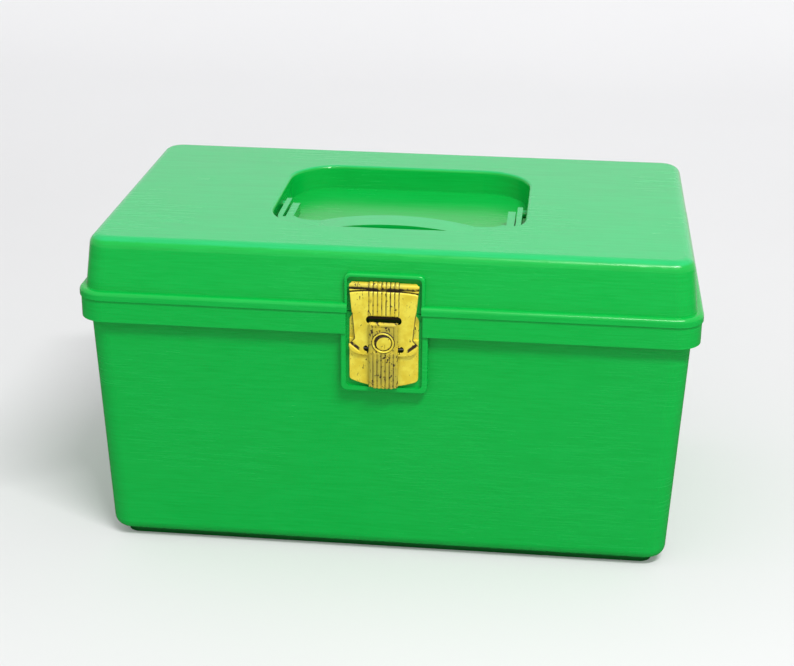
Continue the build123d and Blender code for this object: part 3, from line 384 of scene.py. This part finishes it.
def worn_brass():
    """Bright lemon brass with brown flecks and short scratches of wear; the same brown is painted
    shade behind the hasp's slots and where a piece's attribute carries shade.
    """
    material, tree, sockets = blank_material("brass")
    cloud = noise(tree, BRASS_CLOUD, detail=4.0, roughness=0.6)
    patch = noise(tree, BRASS_PATCH).step(*WORN_PATCH)
    fleck = noise(tree, BRASS_FLECK, detail=3.0, roughness=0.6, stretch=FLECK_STRETCH)
    scratch = noise(tree, BRASS_SCRATCH, distortion=1.6, stretch=SCRATCH_STRETCH)
    dirt_and_shade = make(tree, "ShaderNodeAttribute", {"attribute_name": "dirt_and_shade"}, output="Fac")
    # grime and painted shade from the pieces' attribute; the mask behind the slots adds painted shade
    grime_and_shade = dirt_and_shade * (0.35 + 1.1 * cloud.step(*BRASS_GRIME_AND_SHADE))
    flecks = (fleck + 0.12 * dirt_and_shade).step(*WORN_FLECK) * (patch + dirt_and_shade)
    scratches = (scratch + 0.08 * dirt_and_shade).step(*WORN_SCRATCH)
    worn_and_shaded = (flecks + scratches + grime_and_shade + shade_behind_slots(tree)).clamped()
    clean = mix_colour(tree, cloud.step(*BRASS_SHINE), BRASS_DEEP, BRASS_BRIGHT)
    fill(tree, sockets["Base Color"], mix_colour(tree, worn_and_shaded, clean, WORN_AND_SHADED_BROWN))
    fill(tree, sockets["Metallic"], 0.22 - 0.15 * worn_and_shaded)
    fill(tree, sockets["Roughness"], 0.27 + 0.14 * cloud + 0.35 * worn_and_shaded)
    fill(tree, sockets["Normal"], bump(tree, cloud - 0.6 * worn_and_shaded, strength=0.2, distance=0.1 * MM))
    return material


def zinc_steel():
    """Dull zinc plating, finely brushed."""
    material, tree, sockets = blank_material("zinc_steel")
    cloud = noise(tree, 1.0, detail=4.0, roughness=0.6, stretch=ZINC_BRUSHING)
    fill(tree, sockets["Base Color"], mix_colour(tree, cloud, ZINC_DEEP, ZINC_BRIGHT))
    fill(tree, sockets["Metallic"], 1.0)
    fill(tree, sockets["Roughness"], 0.3 + 0.2 * cloud)
    fill(tree, sockets["Normal"], bump(tree, cloud, strength=0.15, distance=0.1 * MM))
    return material


def pale_floor():
    """White to the camera, and to reflections from behind the object; grey to everything else."""
    material, tree, sockets = blank_material("pale_floor")
    ray = tree.nodes.new("ShaderNodeLightPath")
    camera_ray = Wire(tree, ray.outputs["Is Camera Ray"])
    glossy_ray = Wire(tree, ray.outputs["Is Glossy Ray"])
    back = coordinate(tree, "Y")
    seen = (camera_ray + glossy_ray * back.step(*MIRRORED_BEHIND)).clamped()
    white = mix_colour(tree, noise(tree, FLOOR_MOTTLE, detail=3.0), *FLOOR_SEEN)
    hidden = mix_colour(tree, glossy_ray, FLOOR_HIDDEN, FLOOR_MIRRORED)
    glow = mix_colour(tree, back.step(*GLOW_BEHIND), *FLOOR_GLOW)
    fill(tree, sockets["Base Color"], mix_colour(tree, seen, hidden, white))
    fill(tree, sockets["Emission Color"], mix_colour(tree, seen, BLACK, glow))
    fill(tree, sockets["Emission Strength"], 1.0)
    fill(tree, sockets["Roughness"], 0.8)
    fill(tree, sockets["Specular IOR Level"], 0.1)
    return material


# ---------------------------------------------------------------- camera, light and floor
def place_camera():
    """Camera at the viewing angle: forward, right and up vectors from yaw, pitch and roll."""
    yaw, pitch, roll = CAMERA_YAW, CAMERA_PITCH, CAMERA_ROLL
    ahead = Vector((math.sin(yaw), math.cos(yaw), 0.0))
    level = Vector((math.cos(yaw), -math.sin(yaw), 0.0))
    forward = math.cos(pitch) * ahead - math.sin(pitch) * Vector((0.0, 0.0, 1.0))
    upright = level.cross(forward)
    right = math.cos(roll) * level + math.sin(roll) * upright
    up = -math.sin(roll) * level + math.cos(roll) * upright
    data = bpy.data.cameras.new("camera")
    data.sensor_width = SENSOR_WIDTH
    data.sensor_fit = "HORIZONTAL"
    data.lens = FOCAL_PIXELS / PICTURE_WIDTH * SENSOR_WIDTH
    data.clip_start = CLIP_START
    camera = bpy.data.objects.new("camera", data)
    turn = Matrix((right, up, -forward)).transposed()
    camera.matrix_world = Matrix.Translation(CAMERA_PLACE) @ turn.to_4x4()
    bpy.context.scene.collection.objects.link(camera)
    bpy.context.scene.camera = camera


def light_scene():
    """Even room light with one long soft lamp above and in front."""
    world = bpy.data.worlds.new("room")
    world.use_nodes = True
    background = world.node_tree.nodes["Background"].inputs
    background["Color"].default_value = (1.0, 1.0, 1.0, 1.0)
    background["Strength"].default_value = ROOM_LEVEL
    bpy.context.scene.world = world
    data = bpy.data.lights.new("main_lamp", "AREA")
    data.shape = "RECTANGLE"
    data.size, data.size_y = LAMP_SIZE
    data.energy = LAMP_POWER
    lamp = bpy.data.objects.new("main_lamp", data)
    lamp.location = LAMP_PLACE
    aim = Vector(LAMP_TARGET) - Vector(LAMP_PLACE)
    lamp.rotation_euler = aim.to_track_quat("-Z", "Y").to_euler()
    bpy.context.scene.collection.objects.link(lamp)


def smooth_object(name, points, faces, material):
    """A smooth shaded mesh object in the scene."""
    mesh = bpy.data.meshes.new(name)
    mesh.from_pydata(points, [], faces)
    for face in mesh.polygons:
        face.use_smooth = True
    mesh.materials.append(material)
    piece = bpy.data.objects.new(name, mesh)
    bpy.context.scene.collection.objects.link(piece)
    return piece


def lay_floor():
    """Pale floor that runs up into a pale backdrop: a sheet swept along a rounded corner."""
    turn = np.linspace(0.0, math.pi / 2, BACKDROP_STEPS)
    bend = BACKDROP_START + BACKDROP_CORNER * np.sin(turn)
    along = np.concatenate([[-FLOOR_REACH], bend, bend[-1:]])
    rise = np.concatenate([[0.0], BACKDROP_CORNER * (1.0 - np.cos(turn)), [BACKDROP_HEIGHT]])
    points = [(x, y, z) for y, z in zip(along, rise) for x in (-FLOOR_REACH, FLOOR_REACH)]
    faces = [(2 * i, 2 * i + 1, 2 * i + 3, 2 * i + 2) for i in range(len(along) - 1)]
    floor = smooth_object("floor", points, faces, pale_floor())


# ---------------------------------------------------------------- pressed latch plates
def grid_piece(name, points, material, dirt_and_shade, open_cell=None):
    """Mesh object from a grid of points, rows by columns; cells that open_cell marks stay open.

    Dirt and painted shade, from 0 to 1 at each point, are kept as an attribute that the finish reads.
    """
    rows, columns = points.shape[:2]
    index = np.arange(rows * columns).reshape(rows, columns)
    cells = np.stack([index[:-1, :-1], index[:-1, 1:], index[1:, 1:], index[1:, :-1]], axis=-1)
    cells = cells.reshape(-1, 4) if open_cell is None else cells[~open_cell]
    piece = smooth_object(name, points.reshape(-1, 3).tolist(), cells.tolist(), material)
    values = dirt_and_shade.ravel().astype(np.float32)
    piece.data.attributes.new("dirt_and_shade", "FLOAT", "POINT").data.foreach_set("value", values)
    return piece


def smooth(value, low, high):
    """Smooth step from 0 at low to 1 at high."""
    share = np.clip((value - low) / (high - low), 0.0, 1.0)
    return share * share * (3.0 - 2.0 * share)


def fade(value, low, high):
    """Smooth step from 1 at low to 0 at high."""
    return 1.0 - smooth(value, low, high)


def flute_height(x, count, pitch):
    """Height of a row of half-round flutes at x.

    Each flute is a half ellipse across nine tenths of its pitch; outside the row it is nought.
    """
    place = np.mod(x / pitch + count / 2, 1.0) - 0.5
    ridge = np.sqrt(np.clip(1.0 - (place / FLUTE_HALF) ** 2, 0.0, 1.0))
    return np.where(np.abs(x) < count * pitch / 2, FLUTE_PROUD * ridge, 0.0)


def groove_dirt(x, count, pitch):
    """1 in the grooves of a row of flutes and along its two sides, falling to 0 on the ridges."""
    place = np.abs(np.mod(x / pitch + count / 2, 1.0) - 0.5)
    return np.where(np.abs(x) < (count / 2 + GROOVE_MARGIN) * pitch, smooth(place, *GROOVE), 0.0)


def hasp_half_width(z):
    """Half width of the hasp at height z.

    From the foot it swells in a quarter ellipse to the ears, draws in to the waist along a
    smooth step, and widens in a straight line up to the roll.
    """
    swell = np.sqrt(np.clip(1.0 - ((EAR_Z - z) / (EAR_Z - HASP_FOOT_Z)) ** 2, 0.0, 1.0))
    foot = HASP_FOOT_HALF + (HASP_HALF - HASP_FOOT_HALF) * swell
    draw = HASP_HALF + (WAIST_HALF - HASP_HALF) * smooth(z, EAR_Z, WAIST_Z)
    widen = WAIST_HALF + (HASP_HALF - WAIST_HALF) * (z - WAIST_Z) / (ROLL_Z - WAIST_Z)
    return np.where(z < EAR_Z, foot, np.where(z < WAIST_Z, draw, np.minimum(widen, HASP_HALF)))


def slot_distance(x, z, slot):
    """Distance outside a slot with round ends, negative inside it."""
    middle, width, height = slot
    beyond = np.maximum(np.abs(x) - (width - height) / 2, 0.0)
    return np.hypot(beyond, z - middle) - height / 2


def draw_to_slots(x, z):
    """Move the points next to a slot onto its edge, against the slope of their distance to it."""
    for slot in SLOTS:
        gap = slot_distance(x, z, slot)
        near = np.abs(gap) < SNAP
        slope_x = (slot_distance(x + SNAP, z, slot) - gap) / SNAP
        slope_z = (slot_distance(x, z + SNAP, slot) - gap) / SNAP
        x = np.where(near, x - gap * slope_x, x)
        z = np.where(near, z - gap * slope_z, z)
    return x, z


def ear_depth(x, z):
    """Distance inside the slanting line that cuts each lower corner of the hasp to an ear."""
    run = HASP_HALF - HASP_FOOT_HALF
    rise = EAR_Z - HASP_FOOT_Z
    return ((z - HASP_FOOT_Z) * run - (np.abs(x) - HASP_FOOT_HALF) * rise) / math.hypot(run, rise)


def make_hasp(material):
    """The pressed hasp: fluted sheet, rolled round its pin, with two slots and curled ears.

    Its rows follow the sheet's section, straight up the face and then round the pin, and are
    pushed along the section's normal by the flutes, the crease under the roll and the lift of
    the ears.  Points next to a slot are drawn to its edge, and the cells inside it left out.
    """
    bend = np.linspace(*ROLL_BEND, ROLL_STEPS)
    face_z = np.linspace(HASP_FOOT_Z, CREASE_TOP, HASP_ROWS + 1)[:-1]
    still = np.zeros(HASP_ROWS)
    out = np.concatenate([still + HASP_OUT, ROLL_OUT + ROLL_RADIUS * np.cos(bend)])[:, None]
    push_out = np.concatenate([still + 1.0, np.cos(bend)])[:, None]
    push_up = np.concatenate([still, np.sin(bend)])[:, None]
    roll_half = HASP_HALF - ROLL_END_DRAW * smooth(bend, *ROLL_END_BEND)
    half_width = np.concatenate([hasp_half_width(face_z), roll_half])[:, None]
    # a little dirt all over the roll, and painted shade on its underside
    under = ROLL_DIRT + ROLL_UNDER_SHADE * fade(bend, *ROLL_SHADE_BEND)
    roll_dirt_and_shade = np.concatenate([still, under])[:, None]
    flat = np.arange(len(out))[:, None] < HASP_ROWS

    x = half_width * np.linspace(-1.0, 1.0, HASP_COLUMNS)[None, :]
    z = np.concatenate([face_z, ROLL_Z + ROLL_RADIUS * np.sin(bend)])[:, None] + np.zeros(x.shape)
    bow = np.minimum(np.abs(x) / HASP_FOOT_HALF, BOW_LIMIT) ** 2 - BOW_MIDDLE
    z = z + HASP_FOOT_BOW * fade(z, HASP_FOOT_Z, EAR_Z) * bow
    x, z = draw_to_slots(x, z)

    upper_middle, _, upper_height = SLOTS[0]
    slot_top = upper_middle + upper_height / 2
    fluted = smooth(z, slot_top, slot_top + FLUTE_RUN_OUT)
    crease = CREASE_Z - CREASE_DROP * np.abs(x / HASP_HALF) ** 3
    fold = np.exp(-((z - crease) / CREASE_WIDTH) ** 2) * flat
    ear = smooth(np.abs(x), *EAR_START) * (flat & (z < WAIST_Z))
    depth = ear_depth(x, z)
    push = np.where(flat, fluted, 1.0) * flute_height(x, *HASP_FLUTES)
    push = push - CREASE_DEPTH * fold
    push = push + EAR_LIFT * ear * fade(depth, *EAR_LIP)

    edge_line = smooth(z, *EDGE_LINE_START) * fade(z, *EDGE_LINE_END)
    ear_shade = smooth(depth, *EAR_SHADE_START) * fade(depth, *EAR_SHADE_END)
    # dirt in the grooves and over the roll, and painted shade in the crease, under the roll, along the
    # waist's sides and beside the ears
    dirt_and_shade = np.maximum.reduce([
        groove_dirt(x, *HASP_FLUTES) * np.where(flat, HASP_GROOVE_DIRT * fluted, ROLL_GROOVE_DIRT),
        smooth(fold, *CREASE_SHADE),
        roll_dirt_and_shade + np.zeros(x.shape),
        edge_line * fade(half_width - np.abs(x), *EDGE_LINE),
        EAR_SHADE_STRENGTH * ear * ear_shade * fade(np.abs(x), *EAR_END),
    ])

    y = POCKET_Y - out - push * push_out
    z = z + push * push_up
    centre_x = (x[:-1, :-1] + x[1:, 1:]) / 2
    centre_z = (z[:-1, :-1] + z[1:, 1:]) / 2
    inside = [slot_distance(centre_x, centre_z, slot) < 0 for slot in SLOTS]
    holes = np.any(inside, axis=0) & flat[:-1]
    piece = grid_piece("hasp", np.stack([x, y, z], axis=-1), material, dirt_and_shade, holes)
    sheet = piece.modifiers.new("sheet", "SOLIDIFY")
    sheet.thickness = HASP_SHEET
    sheet.offset = -1.0
    sheet.use_even_offset = False
    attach(piece, "hasp")
    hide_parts("hasp_plate")


def lever_height(x, z, edge, radius, along):
    """Height of the lever's face over its flat level.

    It falls off over the bevel, sinks in the panel inside the bevel at the upper end, rises in
    the flutes along the lower end, and round the boss has a ring and a disc instead.
    """
    bevel = -LEVER_BEVEL_DROP * (1.0 - np.clip(edge / LEVER_BEVEL, 0.0, 1.0))
    panel = smooth(edge, PANEL_INSET - PANEL_EDGE, PANEL_INSET) * smooth(z, *PANEL_START)
    height = bevel - PANEL_SINK * panel + along * flute_height(x, *LEVER_FLUTES)
    ring_start, ring_full = (DISC_RADIUS + margin for margin in RING_EDGE)
    disc_full, disc_end = (DISC_RADIUS - margin for margin in DISC_EDGE)
    ring = smooth(radius, ring_start, ring_full) * fade(radius, BOSS_RADIUS - BOSS_EDGE, BOSS_RADIUS)
    boss = BOSS_PROUD * np.maximum(ring, fade(radius, disc_full, disc_end))
    return np.where(radius < BOSS_RADIUS, np.maximum(height, 0.0) * BOSS_LEVEL + boss, height)


def lever_darkening(x, z, edge, radius, along):
    """Dirt over the lever and in its grooves, and dark lines round its ring and disc, along its panel
    and in a crescent.
    """
    rim = fade(np.abs(radius - BOSS_RADIUS), *BOSS_LINE)
    gutter = fade(np.abs(radius - DISC_RADIUS), *BOSS_LINE)
    panel_line = smooth(z, *PANEL_LINE_START) * fade(np.abs(edge - PANEL_INSET), *PANEL_LINE)
    grooves = LEVER_GROOVE_DIRT * along * groove_dirt(x, *LEVER_FLUTES)
    moved = np.hypot(x - CRESCENT_SHIFT, z - BOSS_Z + CRESCENT_SHIFT)
    bare, inner = (DISC_RADIUS - margin for margin in CRESCENT_EDGE)
    crescent = fade(radius, inner, DISC_RADIUS) * smooth(moved, bare, DISC_RADIUS)
    return np.maximum.reduce([
        np.where(radius < BOSS_RADIUS, 0.0, np.maximum(grooves, LEVER_DIRT)),
        RIM_DARK_LINE * rim,
        GUTTER_DARK_LINE * gutter,
        PANEL_DARK_LINE * panel_line,
        CRESCENT_DARKNESS * crescent,
    ])


def make_lever(material):
    """The pressed lever: bevelled edges, sunken panel, ring and disc, and flutes to a scalloped end.

    Heights are added over its flat face, the sides are turned back, and the whole is turned
    about the pin to the place where the released lever rests.
    """
    rise = np.linspace(0.0, 1.0, LEVER_ROWS)[:, None]
    x = LEVER_HALF * np.linspace(-1.0, 1.0, LEVER_COLUMNS)[None, :] + np.zeros(rise.shape)
    bottom = LEVER_BOTTOM - SCALLOP * flute_height(x, *LEVER_FLUTES)
    z = bottom + (LEVER_TOP - bottom) * rise
    edge = np.minimum(LEVER_HALF - np.abs(x), LEVER_TOP - z)
    radius = np.hypot(x, z - BOSS_Z)
    along = fade(z, *LEVER_FLUTE_END)
    out = LEVER_OUT + lever_height(x, z, edge, radius, along)
    # the turned-back sides are painted fully dark: painted shade in the gaps beside the lever
    dirt_and_shade = np.pad(lever_darkening(x, z, edge, radius, along), 1, constant_values=1.0)

    pivot_out, pivot_z = LEVER_PIVOT
    x = np.pad(x, 1, mode="edge")
    up = np.pad(z, 1, mode="edge") - pivot_z
    forward = np.pad(out, 1, constant_values=LEVER_OUT - LEVER_SIDE) - pivot_out
    turn_cos, turn_sin = math.cos(LEVER_RELEASE), math.sin(LEVER_RELEASE)
    y = POCKET_Y - (pivot_out + forward * turn_cos + up * turn_sin)
    z = pivot_z - forward * turn_sin + up * turn_cos
    piece = grid_piece("lever", np.stack([x, y, z], axis=-1), material, dirt_and_shade)
    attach(piece, "lever")
    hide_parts("latch_lever")


# ---------------------------------------------------------------- the object
finishes = {
    "green_plastic": green_plastic(),
    "tray_plastic": cream_plastic(),
    "brass": worn_brass(),
    "zinc_steel": zinc_steel(),
}
for row in frame["record"]["subparts"]:
    mesh_data = frame["nodes"][row["node"]].data
    mesh_data.materials.clear()
    mesh_data.materials.append(finishes[row["material_slot"]])

make_hasp(finishes["brass"])
make_lever(finishes["brass"])

place_camera()
light_scene()
lay_floor()
bpy.context.scene.view_settings.view_transform = "Standard"
